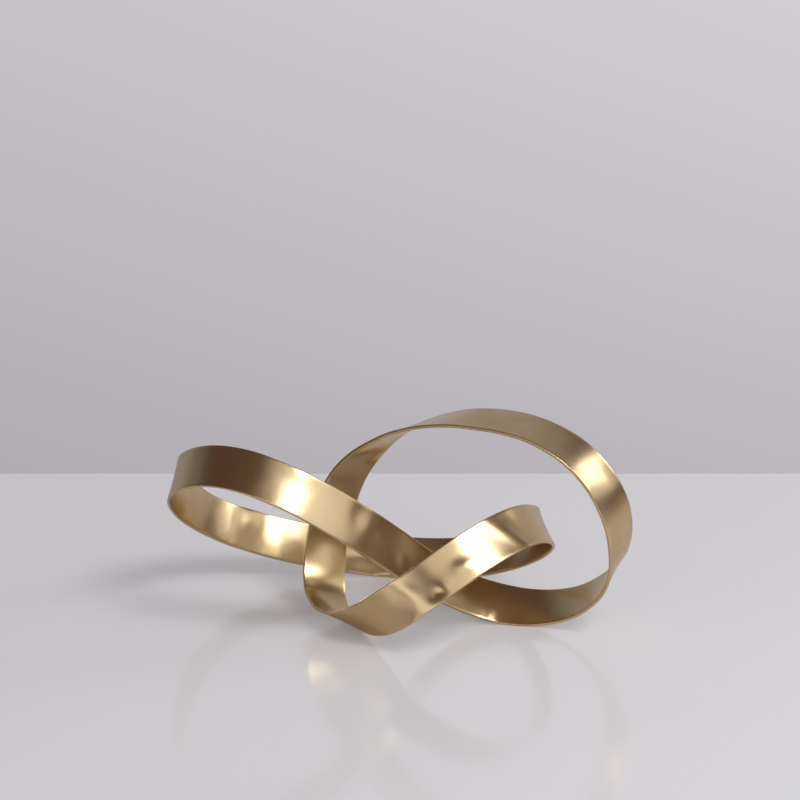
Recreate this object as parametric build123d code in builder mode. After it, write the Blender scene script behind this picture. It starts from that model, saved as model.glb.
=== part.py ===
"""Tabletop knot sculpture: a flat brass strip led round a three-lobed knot and closed on itself.

Frame: millimetres, +Z up. The band stands on Z = 0 with its front towards -Y, and the origin
lies under the middle of its outline. Going once round the knot turns the strip over, so the
band has one face and one edge. It is made of lengths of strip, each rolled to its own bend,
butted end to end and brazed; the seams are dressed flush.
"""
import os

from build123d import *

# Driving dimensions
knot_length = 328.0  # left loop to ring, over the strip
knot_depth = 187.0  # front run to rear run, over the strip
knot_height = 161.0  # table to the crown of the ring
strip_width = 32.0
strip_thickness = 2.5
seam_width = 1.6  # bead between two lengths of strip
section_spacing = 15.0  # longest step between two sections of one length

# Stations of the strip's middle line, in order round the knot from the front fold.
# Each has its place as shares of the knot's length, depth and height, and the direction
# across the strip. The middle line is drawn towards the stations and rounds them off.
station_shares = [
    ((-0.120, -0.235, 0.020), (-0.90, -0.15, 0.65)),
    ((-0.015, -0.500, 0.220), (-0.85, 0.50, 0.35)),
    ((0.145, -0.440, 0.465), (-0.50, 0.40, 0.85)),
    ((0.290, -0.235, 0.555), (-0.60, 0.70, 0.65)),
    ((0.345, 0.050, 0.375), (-0.30, 0.65, 0.80)),
    ((0.245, 0.310, 0.145), (0.20, 0.70, 0.85)),
    ((0.050, 0.455, 0.055), (0.10, 0.70, 0.85)),
    ((-0.160, 0.450, 0.115), (0.10, 0.55, 0.95)),
    ((-0.370, 0.460, 0.210), (0.05, 0.70, 0.80)),
    ((-0.480, 0.255, 0.425), (0.25, 0.65, 0.80)),
    ((-0.510, -0.045, 0.685), (0.25, 0.60, 0.90)),
    ((-0.380, -0.295, 0.845), (0.35, 0.70, 0.75)),
    ((-0.200, -0.390, 0.725), (0.35, 0.65, 0.80)),
    ((-0.045, -0.305, 0.485), (0.60, 0.65, 0.65)),
    ((0.065, -0.085, 0.220), (0.25, 0.80, 0.65)),
    ((0.210, -0.030, 0.040), (0.10, 0.75, 0.75)),
    ((0.390, -0.115, 0.060), (0.20, 1.00, 0.40)),
    ((0.500, -0.275, 0.345), (0.50, 0.75, 0.50)),
    ((0.450, -0.385, 0.775), (0.65, 0.85, 0.20)),
    ((0.310, -0.290, 1.000), (0.50, 0.95, 0.25)),
    ((0.110, -0.100, 0.985), (0.60, 0.85, 0.15)),
    ((-0.040, 0.095, 0.810), (0.60, 0.90, -0.25)),
    ((-0.145, 0.215, 0.515), (0.95, 0.35, -0.20)),
    ((-0.180, 0.085, 0.060), (1.05, 0.40, -0.20)),
]
lap = len(station_shares)

# Shares of the lap, from the first station, at which one length of strip ends and the next
# begins. They lie in the gentler runs, two of them behind a strand that crosses in front.
rear_share = 0.240
shoulder_share = 0.500
ring_side_share = 0.715
neck_share = 0.930
seam_shares = {
    "rear_seam": rear_share,
    "shoulder_seam": shoulder_share,
    "ring_side_seam": ring_side_share,
    "neck_seam": neck_share,
}

# The lengths of strip, each from one seam to the next: the front fold with the small loop,
# the rear run with the left loop, the diagonal with the base of the ring, and the ring's
# crown with its neck.
strip_end_shares = {
    "front_loop_strip": (neck_share, rear_share),
    "left_loop_strip": (rear_share, shoulder_share),
    "ring_base_strip": (shoulder_share, ring_side_share),
    "ring_crown_strip": (ring_side_share, neck_share),
}


def station_place(index, frame):
    """The place of a station: its shares of the frame that the stations lie in."""
    across, back, up = station_shares[index % lap][0]
    return Vector(across * frame.X, back * frame.Y, up * frame.Z)


def station_across(index):
    """The direction across the strip at a station; each lap round the knot turns it over."""
    laps, place = divmod(index, lap)
    turned = -1 if laps % 2 else 1
    return Vector(*station_shares[place][1]) * turned


def blend(values, weights):
    """The sum of the values, each in its weight."""
    total = Vector()
    for value, weight in zip(values, weights):
        total += value * weight
    return total


def band_frame(place, frame):
    """Middle, direction along, direction across and pace at a place round the lap.

    A uniform cubic spline over four stations, so that the strip bends evenly, with no step
    in its curvature. The pace is the length of strip to one station there.
    """
    index = int(place // 1)
    t = place - index
    s = 1 - t
    weights = (s**3 / 6, 2 / 3 - t**2 + t**3 / 2, 2 / 3 - s**2 + s**3 / 2, t**3 / 6)
    rates = (-(s**2) / 2, t * (3 * t / 2 - 2), s * (2 - 3 * s / 2), t**2 / 2)
    near = range(index - 1, index + 3)
    places = [station_place(station, frame) for station in near]
    middle = blend(places, weights)
    pull = blend(places, rates)
    along = pull.normalized()
    lean = blend([station_across(station) for station in near], weights)
    across = (lean - along * lean.dot(along)).normalized()
    return middle, along, across, pull.length


def outline(frame):
    """The lowest and the highest corner of a box round the band."""
    corners = []
    for check in range(lap * checks_per_station):
        middle, along, across, _ = band_frame(check / checks_per_station, frame)
        edge = across * (strip_width / 2)
        face = along.cross(across) * (strip_thickness / 2)
        corners += [middle + edge + face, middle + edge - face]
        corners += [middle - edge + face, middle - edge - face]
    low = Vector(*(min(values) for values in zip(*corners)))
    high = Vector(*(max(values) for values in zip(*corners)))
    return low, high


def fitted_frame():
    """The stations' frame that brings the band, over the strip, to the knot's sizes."""
    wanted = Vector(knot_length, knot_depth, knot_height)
    frame = wanted
    for _ in range(fitting_rounds):
        low, high = outline(frame)
        frame += wanted - (high - low)
    return frame


# The outline is measured at this many places to each station, and fitted in a few rounds.
checks_per_station = 16
fitting_rounds = 6

frame = fitted_frame()
low, high = outline(frame)
foot = Vector((low.X + high.X) / 2, (low.Y + high.Y) / 2, low.Z)


def section_plane(place):
    """The plane square to the strip at a place round the lap."""
    middle, along, across, _ = band_frame(place, frame)
    return Plane(origin=middle - foot, x_dir=across, z_dir=along)


def half_seam(place):
    """Half a seam's width, counted in stations at a place round the lap."""
    return seam_width / 2 / band_frame(place, frame)[3]


def places_between(start, end):
    """Evenly spread places from start to end, no further apart than the section spacing."""
    pace = max(band_frame(start, frame)[3], band_frame(end, frame)[3])
    steps = 1 + int((end - start) * pace / section_spacing)
    return [start + (end - start) * step / steps for step in range(steps + 1)]


def strip_between(name, start, end):
    """A rolled length of the strip between two places round the lap."""
    with BuildPart() as strip:
        for place in places_between(start, end):
            with BuildSketch(section_plane(place)):
                Rectangle(strip_width, strip_thickness)
        loft()
    strip.part.label = name
    return strip


os.makedirs("parts", exist_ok=True)

for name, (first_share, last_share) in strip_end_shares.items():
    start = first_share * lap
    end = last_share * lap
    if end < start:
        start -= lap
    strip = strip_between(name, start + half_seam(start), end - half_seam(end))
    export_step(strip.part, f"parts/{name}.step")

for name, share in seam_shares.items():
    place = share * lap
    seam = strip_between(name, place - half_seam(place), place + half_seam(place))
    export_step(seam.part, f"parts/{name}.step")
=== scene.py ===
"""Looks of the brass knot: satin brass strip on a pale polished table.

Metres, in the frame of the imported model: +Z up, front towards -Y, the table top at Z = 0.
The strip runs once round a three-lobed knot and turns over on the way. Each length of strip
is the same rounded section carried along one smooth middle line, and stands for its CAD node.
"""

import logging
import math
from dataclasses import dataclass, field
from enum import Enum

import bpy
import numpy as np
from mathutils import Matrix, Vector


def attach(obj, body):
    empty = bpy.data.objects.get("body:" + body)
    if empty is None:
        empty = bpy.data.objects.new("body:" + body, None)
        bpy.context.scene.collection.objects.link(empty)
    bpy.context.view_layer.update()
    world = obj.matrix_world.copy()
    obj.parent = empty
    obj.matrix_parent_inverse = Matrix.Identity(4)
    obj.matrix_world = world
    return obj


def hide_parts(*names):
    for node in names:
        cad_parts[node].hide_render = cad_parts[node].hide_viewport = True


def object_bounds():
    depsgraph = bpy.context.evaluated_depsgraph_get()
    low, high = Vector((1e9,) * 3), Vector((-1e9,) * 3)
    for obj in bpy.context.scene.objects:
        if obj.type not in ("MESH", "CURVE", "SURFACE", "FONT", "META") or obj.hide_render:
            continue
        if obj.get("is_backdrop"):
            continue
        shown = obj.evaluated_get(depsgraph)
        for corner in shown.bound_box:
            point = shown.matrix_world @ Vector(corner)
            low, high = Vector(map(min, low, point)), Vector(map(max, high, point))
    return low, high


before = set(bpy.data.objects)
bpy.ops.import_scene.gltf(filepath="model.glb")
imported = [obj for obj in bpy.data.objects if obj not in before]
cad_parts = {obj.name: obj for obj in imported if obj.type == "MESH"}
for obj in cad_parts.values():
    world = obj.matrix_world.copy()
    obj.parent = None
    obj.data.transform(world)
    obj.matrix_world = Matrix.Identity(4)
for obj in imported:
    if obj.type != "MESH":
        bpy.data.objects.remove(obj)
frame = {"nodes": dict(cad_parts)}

LOG = logging.getLogger("brass_knot")
MM = 0.001
NO_RELIEF = np.zeros(1)

# Stations of the strip's middle line, in order round the knot from the front fold: shares of
# the knot's length, depth and height, then the direction across the strip.
STATION_SHARES = (
    ((-0.120, -0.235, 0.020), (-0.90, -0.15, 0.65)),
    ((-0.015, -0.500, 0.220), (-0.85, 0.50, 0.35)),
    ((0.145, -0.440, 0.465), (-0.50, 0.40, 0.85)),
    ((0.290, -0.235, 0.555), (-0.60, 0.70, 0.65)),
    ((0.345, 0.050, 0.375), (-0.30, 0.65, 0.80)),
    ((0.245, 0.310, 0.145), (0.20, 0.70, 0.85)),
    ((0.050, 0.455, 0.055), (0.10, 0.70, 0.85)),
    ((-0.160, 0.450, 0.115), (0.10, 0.55, 0.95)),
    ((-0.370, 0.460, 0.210), (0.05, 0.70, 0.80)),
    ((-0.480, 0.255, 0.425), (0.25, 0.65, 0.80)),
    ((-0.510, -0.045, 0.685), (0.25, 0.60, 0.90)),
    ((-0.380, -0.295, 0.845), (0.35, 0.70, 0.75)),
    ((-0.200, -0.390, 0.725), (0.35, 0.65, 0.80)),
    ((-0.045, -0.305, 0.485), (0.60, 0.65, 0.65)),
    ((0.065, -0.085, 0.220), (0.25, 0.80, 0.65)),
    ((0.210, -0.030, 0.040), (0.10, 0.75, 0.75)),
    ((0.390, -0.115, 0.060), (0.20, 1.00, 0.40)),
    ((0.500, -0.275, 0.345), (0.50, 0.75, 0.50)),
    ((0.450, -0.385, 0.775), (0.65, 0.85, 0.20)),
    ((0.310, -0.290, 1.000), (0.50, 0.95, 0.25)),
    ((0.110, -0.100, 0.985), (0.60, 0.85, 0.15)),
    ((-0.040, 0.095, 0.810), (0.60, 0.90, -0.25)),
    ((-0.145, 0.215, 0.515), (0.95, 0.35, -0.20)),
    ((-0.180, 0.085, 0.060), (1.05, 0.40, -0.20)),
)

# Shares of the lap at which two lengths of strip meet.
SEAM_SHARES = {"rear": 0.240, "shoulder": 0.500, "ring_side": 0.715, "neck": 0.930}

# The lengths of strip, each from one seam to the next.
STRIP_ENDS = {
    "front_loop_strip": ("neck", "rear"),
    "left_loop_strip": ("rear", "shoulder"),
    "ring_base_strip": ("shoulder", "ring_side"),
    "ring_crown_strip": ("ring_side", "neck"),
}


class Slot(Enum):
    """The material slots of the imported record."""

    STRIP = "strip"
    SEAM = "seam"


def linear(code: str) -> tuple[float, float, float, float]:
    """Turns an sRGB hex colour to linear light.

    A channel c is c / 12.92 up to 0.04045, and ((c + 0.055) / 1.055) ^ 2.4 above it.

    Args:
        code: Six hex digits, red, green, blue.

    Returns:
        Linear red, green, blue, and an alpha of one.
    """
    parts = [int(code[k : k + 2], 16) / 255 for k in (0, 2, 4)]
    light = [c / 12.92 if c <= 0.04045 else ((c + 0.055) / 1.055) ** 2.4 for c in parts]
    return (light[0], light[1], light[2], 1.0)


def add_node(
    tree: bpy.types.NodeTree,
    kind: str,
    inputs: dict[str | int, object] | None = None,
    **settings: object,
) -> bpy.types.Node:
    """Adds one node with its settings, values and links.

    Args:
        tree: The node tree that takes the node.
        kind: The node's type name.
        inputs: For each input, by name or number, a value or the socket that feeds it.
        settings: The node's own settings, by name.

    Returns:
        The new node.
    """
    node = tree.nodes.new(kind)
    for name, value in settings.items():
        setattr(node, name, value)
    for name, value in (inputs or {}).items():
        if isinstance(value, bpy.types.NodeSocket):
            tree.links.new(value, node.inputs[name])
        else:
            node.inputs[name].default_value = value
    return node


def new_material(name: str) -> tuple[bpy.types.Material, bpy.types.NodeTree]:
    """Makes an empty node material.

    Args:
        name: The material's name.

    Returns:
        The material and its node tree.
    """
    material = bpy.data.materials.new(name)
    material.use_nodes = True
    material.node_tree.nodes.clear()
    return material, material.node_tree


@dataclass(frozen=True)
class SatinBrass:
    """Yellow brass strip, rolled, bent by hand and rubbed to a satin polish.

    The eye sees soft blurred highlights, faint rubbing lines along the strip and slow changes
    of tone where the hand polish and the lacquer are uneven.
    """

    name: str = "satin_brass"
    bright: str = "D2BE98"
    deep: str = "C7B086"
    roughness: float = 0.25
    roughness_spread: float = 0.03
    cloud: float = 38 * MM  # patches of uneven polish
    cloud_detail: float = 3.0
    cloud_range: tuple[float, float] = (0.35, 0.65)  # the noise's usual lowest and highest
    line_width: float = 0.5 * MM  # rubbing lines, drawn about twice as coarse as real ones
    line_length: float = 22 * MM
    line_depth: float = 0.0004 * MM
    line_detail: float = 4.0
    rub_range: tuple[float, float] = (0.7, 1.3)  # the same for cloud and lines added up
    ripple: float = 9 * MM  # slight unevenness left by the bending tools
    ripple_depth: float = 0.05 * MM
    ripple_detail: float = 1.0

    def build(self) -> bpy.types.Material:
        """Builds the material.

        Returns:
            The brass material.
        """
        material, tree = new_material(self.name)
        place = add_node(tree, "ShaderNodeTexCoord").outputs
        cloud = add_node(
            tree,
            "ShaderNodeTexNoise",
            {"Vector": place["Object"], "Scale": 1 / self.cloud, "Detail": self.cloud_detail},
        ).outputs["Fac"]
        stretched = add_node(
            tree,
            "ShaderNodeMapping",
            {"Vector": place["UV"], "Scale": (1 / self.line_length, 1 / self.line_width, 1.0)},
        ).outputs["Vector"]
        lines = add_node(
            tree,
            "ShaderNodeTexNoise",
            {"Vector": stretched, "Scale": 1.0, "Detail": self.line_detail},
        ).outputs["Fac"]
        ripple = add_node(
            tree,
            "ShaderNodeTexNoise",
            {"Vector": place["Object"], "Scale": 1 / self.ripple, "Detail": self.ripple_detail},
        ).outputs["Fac"]
        low, high = self.cloud_range
        tone = add_node(
            tree, "ShaderNodeMapRange", {"Value": cloud, "From Min": low, "From Max": high}
        ).outputs["Result"]
        colour = add_node(
            tree,
            "ShaderNodeMix",
            {0: tone, 6: linear(self.deep), 7: linear(self.bright)},
            data_type="RGBA",
        ).outputs[2]
        rub = add_node(tree, "ShaderNodeMath", {0: cloud, 1: lines}, operation="ADD").outputs[0]
        rough = add_node(
            tree,
            "ShaderNodeMapRange",
            {
                "Value": rub,
                "From Min": self.rub_range[0],
                "From Max": self.rub_range[1],
                "To Min": self.roughness - self.roughness_spread / 2,
                "To Max": self.roughness + self.roughness_spread / 2,
            },
        ).outputs["Result"]
        uneven = add_node(
            tree,
            "ShaderNodeBump",
            {"Height": ripple, "Strength": 1.0, "Distance": self.ripple_depth},
        ).outputs["Normal"]
        rubbed = add_node(
            tree,
            "ShaderNodeBump",
            {"Height": lines, "Strength": 1.0, "Distance": self.line_depth, "Normal": uneven},
        ).outputs["Normal"]
        shader = add_node(
            tree,
            "ShaderNodeBsdfPrincipled",
            {"Base Color": colour, "Metallic": 1.0, "Roughness": rough, "Normal": rubbed},
        )
        add_node(tree, "ShaderNodeOutputMaterial", {"Surface": shader.outputs[0]})
        return material


@dataclass(frozen=True)
class BrazedSeam(SatinBrass):
    """Brazing brass in the butt seams, filed flush and rubbed with the strip.

    The eye sees a thin line a shade deeper and yellower than the strip, and a little duller.
    """

    name: str = "brazed_seam"
    bright: str = "D1BA8C"
    deep: str = "C2A97A"
    roughness: float = 0.27
    cloud: float = 6 * MM


@dataclass
class KnotBand:
    """The strip's middle line and section, which every length of strip shares."""

    length: float = 328 * MM
    depth: float = 187 * MM
    height: float = 161 * MM
    width: float = 32 * MM
    thickness: float = 2.5 * MM
    edge_radius: float = 0.7 * MM
    seam_width: float = 1.6 * MM
    row_step: float = 1.3 * MM
    face_columns: int = 20
    edge_columns: int = 4
    calm: float = 3.0 * MM  # unevenness fades out this near the table and the outermost points
    checks: int = 16  # places to each station at which the outline is measured
    fitting_rounds: int = 6
    length_places: int = 3201  # places over two laps at which the length of strip is added up
    stations: np.ndarray = field(init=False)
    leans: np.ndarray = field(init=False)
    frame: np.ndarray = field(init=False)
    foot: np.ndarray = field(init=False)
    lap_places: np.ndarray = field(init=False)
    lap_lengths: np.ndarray = field(init=False)

    def __post_init__(self) -> None:
        """Reads the stations and fits their frame to the knot's sizes.

        The frame starts as the wanted sizes and is corrected by what the band's outline
        misses of them, a few times over. The length of strip is the sum of the mean pace of
        each two neighbouring places times the step between them.
        """
        self.stations = np.array([row[0] for row in STATION_SHARES])
        self.leans = np.array([row[1] for row in STATION_SHARES])
        wanted = np.array([self.length, self.depth, self.height])
        places = np.arange(0, self.lap, 1 / self.checks)
        self.frame, self.foot = wanted.copy(), np.zeros(3)
        for _ in range(self.fitting_rounds):
            points = self.carried(places, NO_RELIEF).reshape(-1, 3)
            self.frame = self.frame + wanted - np.ptp(points, axis=0)
        points = self.carried(places, NO_RELIEF).reshape(-1, 3)
        low, high = points.min(0), points.max(0)
        self.foot = np.array([(low[0] + high[0]) / 2, (low[1] + high[1]) / 2, low[2]])
        self.lap_places = np.linspace(-self.lap, self.lap, self.length_places)
        pace = self.frames(self.lap_places)[3]
        step = self.lap_places[1] - self.lap_places[0]
        self.lap_lengths = np.concatenate([[0], np.cumsum((pace[1:] + pace[:-1]) / 2 * step)])

    @property
    def lap(self) -> int:
        """The number of stations in one lap round the knot."""
        return len(self.stations)

    def blended(self, places: np.ndarray, values: np.ndarray, turns: bool) -> np.ndarray:
        """Blends station values into a smooth cubic spline and its rate.

        At share t past a station the four nearest stations weigh (1-t)^3/6,
        (3t^3-6t^2+4)/6, (1+3t+3t^2-3t^3)/6 and t^3/6; the rate uses these weights'
        derivatives.

        Args:
            places: Places round the lap, counted in stations.
            values: One row of three numbers for each station.
            turns: Whether the values change sign with each lap.

        Returns:
            The spline and its rate, of shape (2, places, 3).
        """
        index = np.floor(places).astype(int)
        t = (places - index)[:, None]
        s = 1 - t
        weights = (s**3, 3 * t**3 - 6 * t**2 + 4, 1 + 3 * t + 3 * t**2 - 3 * t**3, t**3)
        rates = (-3 * s**2, 9 * t**2 - 12 * t, 3 + 6 * t - 9 * t**2, 3 * t**2)
        near = index[:, None] + np.arange(-1, 3)
        sign = np.where((near // self.lap) % 2 != 0, -1.0, 1.0) if turns else np.ones(near.shape)
        rows = values[near % self.lap] * sign[..., None]
        shares = np.stack([np.hstack(weights), np.hstack(rates)]) / 6
        return np.einsum("kpj,pjc->kpc", shares, rows)

    def frames(self, places: np.ndarray) -> tuple[np.ndarray, ...]:
        """Works out the strip's own frame at places round the lap.

        The direction across is the blended lean less its part along the strip, and the
        direction through is along x across.

        Args:
            places: Places round the lap, counted in stations.

        Returns:
            Middle, across, through, each (places, 3), and the length of strip to one station.
        """
        middle, pull = self.blended(places, self.stations * self.frame, False)
        pace = np.linalg.norm(pull, axis=1)
        along = pull / pace[:, None]
        lean = self.blended(places, self.leans, True)[0]
        across = lean - along * (lean * along).sum(1, keepdims=True)
        across /= np.linalg.norm(across, axis=1, keepdims=True)
        return middle - self.foot, across, np.cross(along, across), pace

    def section(self) -> np.ndarray:
        """Lays out the strip's section as one closed ring.

        A rectangle whose four corners are quarter circles: corner centre plus the radius
        times (cos, sin) of angles that sweep a quarter turn. The ring runs counter-clockwise
        seen against the strip's direction.

        Returns:
            Offsets (across, through) of the ring's points, of shape (columns, 2).
        """
        inner = np.array([self.width / 2, self.thickness / 2]) - self.edge_radius
        signs = np.array([(1, 1), (-1, 1), (-1, -1), (1, -1)])
        turn = (np.arange(4)[:, None] + np.linspace(0, 1, self.edge_columns + 1)) * math.pi / 2
        arc = np.stack([np.cos(turn), np.sin(turn)], -1) * self.edge_radius
        corners = (signs * inner)[:, None] + arc
        share = np.linspace(1, -1, self.face_columns + 1)[1:-1]
        face = np.stack([share * inner[0], np.full_like(share, self.thickness / 2)], -1)
        return np.concatenate([corners[0], face, corners[1], corners[2], -face, corners[3]])

    def carried(self, places: np.ndarray, relief: np.ndarray) -> np.ndarray:
        """Carries the section along the middle line.

        A point is middle + across * a + through * (b + relief), with (a, b) from the section.

        Args:
            places: Places round the lap, one for each row.
            relief: How far each point moves through the strip, broadcast to (rows, columns).

        Returns:
            The points, of shape (rows, columns, 3).
        """
        middle, across, through, _ = self.frames(places)
        ring = self.section()
        lift = ring[:, 1] + relief
        return (
            middle[:, None]
            + across[:, None] * ring[None, :, :1]
            + through[:, None] * np.broadcast_to(lift, (len(places), len(ring)))[..., None]
        )

    @property
    def lap_length(self) -> float:
        """The length of strip in one lap, half of what the two laps measure."""
        return self.lap_lengths[-1] / 2

    def run(self, places: np.ndarray) -> np.ndarray:
        """Gives the length of strip to each place, from one lap before the first station."""
        return np.interp(places, self.lap_places, self.lap_lengths)

    def half_seam(self, place: float) -> float:
        """Gives half a seam's width, counted in stations, at a place."""
        return self.seam_width / 2 / self.frames(np.array([place]))[3][0]


@dataclass(frozen=True)
class Dent:
    """One soft swelling, or hollow where its depth is negative, that bending left."""

    along: float  # length of strip from the first station to its middle
    side: float  # way across the strip from the strip's middle line
    depth: float
    reach: tuple[float, float]  # how far along and across it sinks to about a third
    turn: float  # degrees that it is turned, from along towards across

    def lift(self, run: np.ndarray, side: np.ndarray) -> np.ndarray:
        """Works out its height: the depth times exp(-(a^2 + b^2)) in its own turned axes.

        Args:
            run: Length of strip from the first station.
            side: Way across the strip.

        Returns:
            The height at every pair of run and side.
        """
        turn = math.radians(self.turn)
        along, across = run - self.along, side - self.side
        a = (along * math.cos(turn) + across * math.sin(turn)) / self.reach[0]
        b = (across * math.cos(turn) - along * math.sin(turn)) / self.reach[1]
        return self.depth * np.exp(-(a**2) - b**2)


# The dents that break up the highlights, round the knot from the first station: place along
# and to the side, depth, reach along and across in millimetres, and turn in degrees.
DENTS = tuple(
    Dent(along * MM, side * MM, depth * MM, (length * MM, width * MM), turn)
    for along, side, depth, length, width, turn in (
        (75, 2, 0.65, 6, 10, 20),
        (91, -10, -0.65, 4, 5, -30),
        (98, -8, 0.48, 5, 6, 25),
        (117, -5, 1.20, 9, 6, -15),
        (158, 0, 0.90, 6, 30, 29),
        (405, 0, -1.90, 30, 12, 0),
        (402, -19, 1.20, 30, 13, 0),
        (432, -4, -0.90, 14, 16, 0),
        (466, 2, -0.25, 8, 12, -15),
        (462, -18, 0.90, 16, 12, 0),
        (498, 10, -1.10, 8, 12, 10),
        (512, 2, 0.25, 7, 12, 0),
        (672, -2, 0.30, 6, 14, 10),
        (690, 4, -0.35, 6, 10, -10),
        (715, -6, 0.30, 9, 9, 0),
        (742, 13, 0.50, 10, 7, 0),
        (793, 8, -1.00, 8, 11, 10),
        (812, -4, -0.30, 9, 9, 0),
        (845, -3, -0.30, 5, 5, 0),
        (929, -9, 0.40, 3, 6, 0),
        (1118, 6, 0.35, 8, 9, 0),
        (1324, 7, 0.80, 7, 9, 20),
        (1346, 2, -0.55, 8, 10, 0),
        (1415, 3, 0.80, 11, 20, -15),
        (1438, -12, -0.60, 4, 5, 0),
    )
)


@dataclass
class Unevenness:
    """How the skin leaves the plain band: slow waves, the bow of a bent strip, and dents."""

    band: KnotBand
    lengths: tuple[float, ...] = (31 * MM, 47 * MM, 83 * MM)
    tilts: tuple[float, ...] = (14.0, -44.0, 105.0)  # radians of phase for each metre across
    depths: tuple[float, ...] = (0.05 * MM, 0.10 * MM, 0.16 * MM)
    phase_step: float = 2.4  # from one wave to the next
    drift: float = 1.7  # how far a wave's phase wanders to either side
    drift_span: float = 3.1  # wave lengths in which that wandering goes on by one radian
    dents: tuple[Dent, ...] = DENTS
    bow_share: float = 0.30  # cross bend for each bend along, near brass's Poisson's ratio
    bow_step: float = 0.05  # stations to each side over which the bend is measured
    joint: float = 40 * MM  # the waves fade out this near the lap's first station

    def relief(self, places: np.ndarray) -> np.ndarray:
        """Adds up the unevenness.

        Each lap turns the strip over, so in odd laps the way across and the height both
        change sign, and a piece that starts before the lap meets the one that ends it.

        Args:
            places: Places round the lap, one for each row.

        Returns:
            The relief at each row and column of the section.
        """
        laps = np.floor(places / self.band.lap)
        sign = np.where(laps % 2 != 0, -1.0, 1.0)[:, None]
        start = self.band.run(np.zeros(1))[0]
        run = (self.band.run(places - laps * self.band.lap) - start)[:, None]
        side = self.band.section()[None, :, 0] * sign
        total = self.waves(run, side) + sum(dent.lift(run, side) for dent in self.dents)
        return (total * sign + self.bow(places)) * self.calmed(places)

    def waves(self, run: np.ndarray, side: np.ndarray) -> np.ndarray:
        """Works out the slow waves that rolling and bending left.

        A sum of sines of the length along the strip, each slanted by its tilt per metre
        across, with slowly drifting phases so that no beat repeats. All of it is multiplied
        by the square of the way to the nearer end of the lap over the joint, at most one.

        Args:
            run: Length of strip from the first station.
            side: Way across the strip.

        Returns:
            The waves' height at every pair of run and side.
        """
        fade = np.clip(np.minimum(run, self.band.lap_length - run) / self.joint, 0, 1) ** 2
        total = np.zeros((len(run), side.shape[1]))
        for number, (size, tilt, depth) in enumerate(zip(self.lengths, self.tilts, self.depths)):
            drift = self.drift * np.sin(run / (self.drift_span * size) + number)
            phase = drift + tilt * side + self.phase_step * number
            total += depth * np.sin(2 * math.pi * run / size + phase)
        return total * fade

    def bow(self, places: np.ndarray) -> np.ndarray:
        """Works out the bow across the strip that goes with its bend along.

        A strip bent one way along bends the other way across: the height is half the cross
        bend times the way across squared, less its mean, and the cross bend is a share of
        the middle line's bend towards the strip's face.

        Args:
            places: Places round the lap, one for each row.

        Returns:
            The bow's height at each row and column of the section.
        """
        near = (self.band.frames(places + move) for move in (-self.bow_step, self.bow_step))
        before, after = (np.cross(across, through) for _, across, through, _ in near)
        _, _, through, pace = self.band.frames(places)
        bend = ((after - before) * through).sum(1) / (2 * self.bow_step * pace)
        side = self.band.section()[None, :, 0]
        return -self.bow_share * bend[:, None] / 2 * (side**2 - self.band.width**2 / 12)

    def calmed(self, places: np.ndarray) -> np.ndarray:
        """Fades the relief near the table and the outermost points, to keep the outline.

        The factor is the square of the room to the nearest side of the knot's box over the
        calm distance, at most one.

        Args:
            places: Places round the lap, one for each row.

        Returns:
            A factor from zero to one for each point.
        """
        points = self.band.carried(places, NO_RELIEF)
        low = np.array([-self.band.length / 2, -self.band.depth / 2, 0.0])
        high = np.array([self.band.length / 2, self.band.depth / 2, self.band.height])
        room = np.minimum(points - low, high - points).min(-1)
        return np.clip(room / self.band.calm, 0, 1) ** 2


@dataclass
class StripLength:
    """One length of strip or one seam, between two places round the lap."""

    node: str
    start: float
    end: float
    slot: Slot
    band: KnotBand
    uneven: Unevenness
    least_rows: int = 3
    sharp_angle: float = 50.0  # degrees; only the ends' outlines bend more than this

    def mesh(self) -> bpy.types.Mesh:
        """Builds the closed skin: a grid of rows along and columns round, and two end caps.

        Returns:
            The mesh, with a UV map in metres along and round the strip.
        """
        length = float(np.ptp(self.band.run(np.array([self.start, self.end]))))
        rows = max(self.least_rows, int(round(length / self.band.row_step)) + 1)
        places = np.linspace(self.start, self.end, rows)
        points = self.band.carried(places, self.uneven.relief(places))
        columns = points.shape[1]
        index = np.arange(rows * columns).reshape(rows, columns)
        near, far = index[:-1], index[1:]
        quads = np.stack([near, np.roll(near, -1, 1), np.roll(far, -1, 1), far], -1)
        faces = quads.reshape(-1, 4).tolist() + [index[0, ::-1].tolist(), index[-1].tolist()]
        mesh = bpy.data.meshes.new(self.node + "_skin")
        mesh.from_pydata(points.reshape(-1, 3).tolist(), [], faces)
        mesh.polygons.foreach_set("use_smooth", np.ones(len(faces), bool))
        self.unwrap(mesh, places, columns)
        mesh.validate()
        mesh.update()
        mesh.set_sharp_from_angle(angle=math.radians(self.sharp_angle))
        return mesh

    def unwrap(self, mesh: bpy.types.Mesh, places: np.ndarray, columns: int) -> None:
        """Gives each corner its length along the strip and its way round the section.

        Args:
            mesh: The mesh, whose points come in rows of columns.
            places: The place of each row.
            columns: The number of points in a row.
        """
        vertex = np.empty(len(mesh.loops), np.int32)
        mesh.loops.foreach_get("vertex_index", vertex)
        steps = np.linalg.norm(np.diff(self.band.section(), axis=0), axis=1)
        girth = np.concatenate([[0], np.cumsum(steps)])
        along, around = self.band.run(places)[vertex // columns], girth[vertex % columns]
        layer = mesh.uv_layers.new(name="strip")
        layer.data.foreach_set("uv", np.stack([along, around], -1).astype(np.float32).ravel())

    def place(self, material: bpy.types.Material) -> bpy.types.Object:
        """Puts the piece into the scene in place of its CAD node.

        Args:
            material: The finish of the piece.

        Returns:
            The finished object.
        """
        piece = bpy.data.objects.new(self.node + "_skin", self.mesh())
        piece.data.materials.append(material)
        bpy.context.scene.collection.objects.link(piece)
        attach(piece, "root")
        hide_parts(self.node)
        return piece


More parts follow.
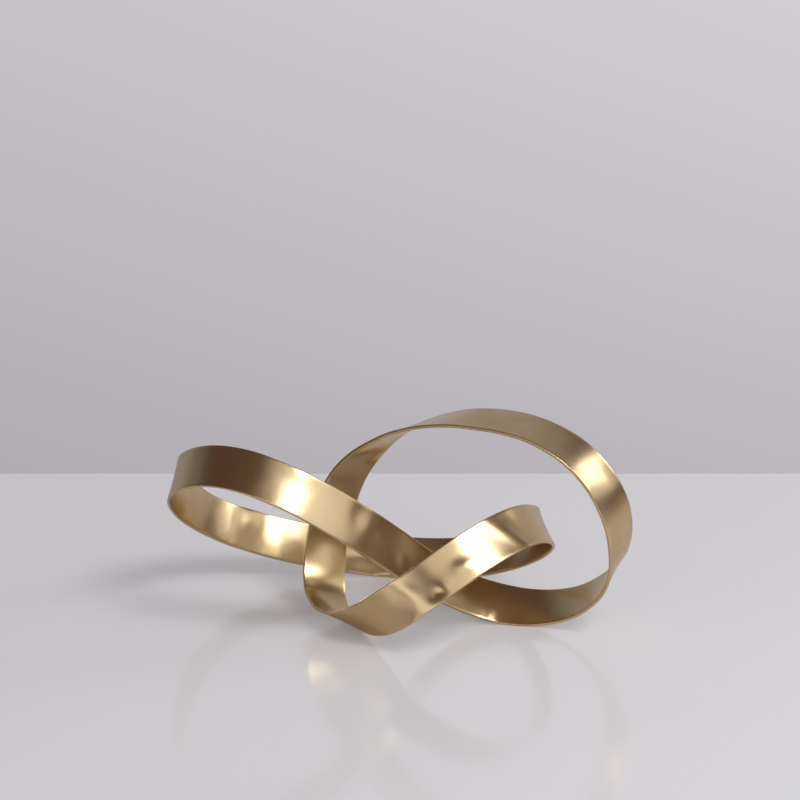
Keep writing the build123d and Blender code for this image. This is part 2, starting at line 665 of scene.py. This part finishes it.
@dataclass
class Knot:
    """The whole sculpture: four lengths of strip and the four seams between them."""

    band: KnotBand
    uneven: Unevenness

    def lengths(self) -> list[StripLength]:
        """Lists the lengths of strip and the seams.

        Returns:
            The pieces in order round the knot.
        """
        lap, made = self.band.lap, []
        for node, (first, last) in STRIP_ENDS.items():
            start, end = SEAM_SHARES[first] * lap, SEAM_SHARES[last] * lap
            start -= lap if end < start else 0
            start += self.band.half_seam(start)
            end -= self.band.half_seam(end)
            made.append(StripLength(node, start, end, Slot.STRIP, self.band, self.uneven))
        for name, share in SEAM_SHARES.items():
            place, half = share * lap, self.band.half_seam(share * lap)
            made.append(
                StripLength(
                    f"{name}_seam", place - half, place + half, Slot.SEAM, self.band, self.uneven
                )
            )
        return made

    def build(self) -> list[bpy.types.Object]:
        """Builds and dresses every piece.

        Returns:
            The finished objects.
        """
        finishes = {Slot.STRIP: SatinBrass().build(), Slot.SEAM: BrazedSeam().build()}
        pieces = []
        for length in self.lengths():
            piece = length.place(finishes[length.slot])
            LOG.info("%s: %d faces", piece.name, len(piece.data.polygons))
            pieces.append(piece)
        return pieces


@dataclass(frozen=True)
class PolishedTable:
    """White engineered stone, ground and polished: pale grey, with a soft mirror image."""

    name: str = "polished_stone"
    colour: str = "E4E2E5"
    shade: str = "DEDDE0"
    roughness: float = 0.12
    gloss: float = 0.7  # specular level, where common glass is 0.5
    patch: float = 400 * MM  # slow changes of shade in the stone
    patch_detail: float = 2.0
    haze: float = 0.20  # how much of the room's light the camera sees on the table besides
    warm: str = "D2A878"  # the same light after a bounce off the brass
    metal_haze: float = 0.15  # how much of that the brass mirrors

    def build(self) -> bpy.types.Material:
        """Builds the material.

        Returns:
            The table's material.
        """
        material, tree = new_material(self.name)
        place = add_node(tree, "ShaderNodeTexCoord").outputs["Object"]
        patch = add_node(
            tree,
            "ShaderNodeTexNoise",
            {"Vector": place, "Scale": 1 / self.patch, "Detail": self.patch_detail},
        ).outputs["Fac"]
        colour = add_node(
            tree,
            "ShaderNodeMix",
            {0: patch, 6: linear(self.shade), 7: linear(self.colour)},
            data_type="RGBA",
        ).outputs[2]
        stone = add_node(
            tree,
            "ShaderNodeBsdfPrincipled",
            {
                "Base Color": colour,
                "Roughness": self.roughness,
                "Specular IOR Level": self.gloss,
            },
        )
        rays = add_node(tree, "ShaderNodeLightPath").outputs
        shown = add_node(
            tree, "ShaderNodeMath", {0: rays["Is Camera Ray"], 1: self.haze}, operation="MULTIPLY"
        ).outputs[0]
        mirrored = add_node(
            tree,
            "ShaderNodeMath",
            {0: rays["Is Glossy Ray"], 1: self.metal_haze},
            operation="MULTIPLY",
        ).outputs[0]
        haze = add_node(tree, "ShaderNodeEmission", {"Color": colour, "Strength": shown})
        glow = add_node(
            tree, "ShaderNodeEmission", {"Color": linear(self.warm), "Strength": mirrored}
        )
        light = add_node(tree, "ShaderNodeAddShader", {0: haze.outputs[0], 1: glow.outputs[0]})
        both = add_node(tree, "ShaderNodeAddShader", {0: stone.outputs[0], 1: light.outputs[0]})
        add_node(tree, "ShaderNodeOutputMaterial", {"Surface": both.outputs[0]})
        return material


@dataclass(frozen=True)
class PaintedWall:
    """Matt wall paint, a pale lilac grey in light that falls off to the left, foot and top."""

    name: str = "wall_paint"
    colour: str = "D8D3D9"
    side_reach: tuple[float, float] = (-6.0, 1.0)  # metres, from the dark left to the right
    side_tone: tuple[float, float] = (0.35, 1.04)
    foot_reach: tuple[float, float] = (-1.0, 0.1)  # metres, from the foot up
    foot_tone: tuple[float, float] = (0.71, 1.0)
    top_reach: tuple[float, float] = (0.6, 5.0)  # metres, on up to the top
    top_tone: tuple[float, float] = (1.0, 0.65)
    metal_share: float = 0.85  # how much of the wall's light the brass mirrors

    def falloff(
        self,
        tree: bpy.types.NodeTree,
        value: bpy.types.NodeSocket,
        reach: tuple[float, float],
        tone: tuple[float, float],
    ) -> bpy.types.NodeSocket:
        """Adds a tone that changes evenly over a reach and stays the same beyond it.

        Args:
            tree: The material's node tree.
            value: The coordinate that the tone follows.
            reach: The coordinate at the two ends.
            tone: The tone at the two ends.

        Returns:
            The socket that gives the tone.
        """
        ends = {"From Min": reach[0], "From Max": reach[1], "To Min": tone[0], "To Max": tone[1]}
        return add_node(tree, "ShaderNodeMapRange", {"Value": value, **ends}).outputs["Result"]

    def build(self) -> bpy.types.Material:
        """Builds the material.

        Returns:
            The wall's material.
        """
        material, tree = new_material(self.name)
        place = add_node(tree, "ShaderNodeTexCoord").outputs["Object"]
        axes = add_node(tree, "ShaderNodeSeparateXYZ", {0: place}).outputs
        side = self.falloff(tree, axes["X"], self.side_reach, self.side_tone)
        foot = self.falloff(tree, axes["Z"], self.foot_reach, self.foot_tone)
        top = self.falloff(tree, axes["Z"], self.top_reach, self.top_tone)
        rays = add_node(tree, "ShaderNodeLightPath").outputs
        seen = add_node(
            tree,
            "ShaderNodeMath",
            {0: rays["Is Glossy Ray"], 1: self.metal_share, 2: rays["Is Camera Ray"]},
            operation="MULTIPLY_ADD",
        ).outputs[0]
        shown = add_node(
            tree,
            "ShaderNodeMath",
            {0: rays["Is Camera Ray"], 1: rays["Is Glossy Ray"]},
            operation="MAXIMUM",
        ).outputs[0]
        tone = seen
        for part in (side, foot, top):
            tone = add_node(
                tree, "ShaderNodeMath", {0: tone, 1: part}, operation="MULTIPLY"
            ).outputs[0]
        colour = linear(self.colour)
        paint = add_node(tree, "ShaderNodeEmission", {"Color": colour, "Strength": tone})
        dull = add_node(tree, "ShaderNodeBsdfDiffuse", {"Color": colour})
        both = add_node(
            tree, "ShaderNodeMixShader", {0: shown, 1: dull.outputs[0], 2: paint.outputs[0]}
        )
        add_node(tree, "ShaderNodeOutputMaterial", {"Surface": both.outputs[0]})
        return material


@dataclass(frozen=True)
class Softbox:
    """A flat studio lamp behind a white cloth, placed as seen from the knot."""

    name: str
    bearing: float  # degrees to the right of the camera's side
    rise: float  # degrees above the table
    distance: float  # metres from the aim
    size: tuple[float, float]  # metres, width and height of the cloth
    glow: float  # how bright the cloth looks, where white paper is about one
    colour: str = "FFFFFF"
    aim: tuple[float, float, float] = (0.0, 0.0, 0.06)

    def place(self) -> Vector:
        """Works out where the lamp hangs.

        Returns:
            The aim plus the distance along the direction of its bearing and rise.
        """
        turn, lift = math.radians(self.bearing), math.radians(self.rise)
        way = (math.sin(turn) * math.cos(lift), -math.cos(turn) * math.cos(lift), math.sin(lift))
        return Vector(self.aim) + Vector(way) * self.distance

    def build(self) -> bpy.types.Object:
        """Builds the lamp.

        Its power is the glow times pi times the cloth's area.

        Returns:
            The lamp's object.
        """
        lamp = bpy.data.lights.new(self.name, "AREA")
        lamp.shape, (lamp.size, lamp.size_y) = "RECTANGLE", self.size
        lamp.energy = self.glow * math.pi * self.size[0] * self.size[1]
        lamp.color = linear(self.colour)[:3]
        holder = bpy.data.objects.new(self.name, lamp)
        holder.location = self.place()
        way = Vector(self.aim) - holder.location
        holder.rotation_euler = way.to_track_quat("-Z", "Y").to_euler()
        holder.visible_camera = False
        bpy.context.scene.collection.objects.link(holder)
        return holder


@dataclass
class Studio:
    """The table, the wall behind it, the lamps and the camera."""

    table_edge: float = 0.317  # metres, how far behind the knot's middle the table ends
    table_reach: float = 4.0  # metres, how far it runs to the sides and the front
    wall_gap: float = 3.2  # metres, how far behind the knot's middle the wall stands
    wall_reach: float = 9.0  # metres, how far it runs to each side
    wall_foot: float = -2.25  # metres, against the table top
    wall_top: float = 6.75
    camera_place: tuple[float, float, float] = (0.0015, -2.246, 0.859)
    camera_pitch: float = 17.265  # degrees that it looks down
    lens: float = 150.3  # millimetres, as the sensor is
    sensor: float = 36.0
    room_colour: str = "C4C0C5"
    room_light: float = 0.27
    dark_colour: str = "897066"  # the unlit side of the room, as the brass mirrors it
    dark_light: float = 0.52
    lamps: tuple[Softbox, ...] = (
        Softbox("key_softbox", 38.0, 52.0, 2.6, (0.80, 0.80), 8.5),
        Softbox("key_panel", 36.0, 36.0, 3.2, (5.6, 3.0), 0.92),
        Softbox("side_softbox", 101.0, 28.0, 2.8, (0.90, 0.90), 3.3),
        Softbox("side_panel", 97.0, 15.5, 2.9, (1.1, 0.75), 0.86),
        Softbox("front_card", -30.0, 11.0, 3.2, (2.0, 1.0), 1.25),
    )

    def slab(
        self, name: str, outline: list[tuple[float, ...]], material: bpy.types.Material
    ) -> bpy.types.Object:
        """Builds one flat stage piece.

        Args:
            name: Its name.
            outline: Its four corners, in order round it.
            material: Its finish.

        Returns:
            The stage object.
        """
        mesh = bpy.data.meshes.new(name)
        mesh.from_pydata(outline, [], [(0, 1, 2, 3)])
        mesh.materials.append(material)
        thing = bpy.data.objects.new(name, mesh)
        bpy.context.scene.collection.objects.link(thing)
        thing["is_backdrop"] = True
        return thing

    def build(self) -> None:
        """Builds the stage, the light and the camera."""
        far, edge = self.table_reach, self.table_edge
        top = [(-far, -far, 0.0), (far, -far, 0.0), (far, edge, 0.0), (-far, edge, 0.0)]
        self.slab("table", top, PolishedTable().build())
        side, gap, low, high = self.wall_reach, self.wall_gap, self.wall_foot, self.wall_top
        face = [(-side, gap, low), (side, gap, low), (side, gap, high), (-side, gap, high)]
        self.slab("wall", face, PaintedWall().build())
        for lamp in self.lamps:
            lamp.build()
        self.world()
        self.camera()

    def world(self) -> None:
        """Lights the room evenly, with a darker, warmer side that only the brass mirrors."""
        world = bpy.data.worlds.new("room")
        bpy.context.scene.world = world
        world.use_nodes = True
        tree = world.node_tree
        tree.nodes.clear()
        rays = add_node(tree, "ShaderNodeLightPath").outputs
        colour, dark = linear(self.room_colour), linear(self.dark_colour)
        room = add_node(
            tree, "ShaderNodeBackground", {"Color": colour, "Strength": self.room_light}
        )
        unlit = add_node(
            tree, "ShaderNodeBackground", {"Color": dark, "Strength": self.dark_light}
        )
        shown = add_node(tree, "ShaderNodeBackground", {"Color": colour, "Strength": 1.0})
        mirrored = add_node(
            tree,
            "ShaderNodeMixShader",
            {0: rays["Is Glossy Ray"], 1: room.outputs[0], 2: unlit.outputs[0]},
        )
        both = add_node(
            tree,
            "ShaderNodeMixShader",
            {0: rays["Is Camera Ray"], 1: mirrored.outputs[0], 2: shown.outputs[0]},
        )
        add_node(tree, "ShaderNodeOutputWorld", {"Surface": both.outputs[0]})

    def camera(self) -> None:
        """Sets the camera at the photograph's viewing angle."""
        eye = bpy.data.cameras.new("camera")
        eye.lens, eye.sensor_width = self.lens, self.sensor
        holder = bpy.data.objects.new("camera", eye)
        holder.location = self.camera_place
        holder.rotation_euler = (math.radians(90 - self.camera_pitch), 0.0, 0.0)
        bpy.context.scene.collection.objects.link(holder)
        bpy.context.scene.camera = holder


def corners() -> list[list[float]]:
    """Gives the lowest and the highest corner of what is shown, as plain lists."""
    return [[float(value) for value in corner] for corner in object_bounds()]


def main() -> None:
    """Builds the knot and the studio."""
    logging.basicConfig(level=logging.INFO, format="%(message)s")
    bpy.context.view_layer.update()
    band = KnotBand()
    pieces = Knot(band, Unevenness(band)).build()
    LOG.info("knot: %d pieces", len(pieces))
    studio = Studio()
    studio.build()
    LOG.info("studio: %d lamps", len(studio.lamps))
    bpy.context.scene.view_settings.view_transform = "Standard"


if __name__ == "__main__":
    main()
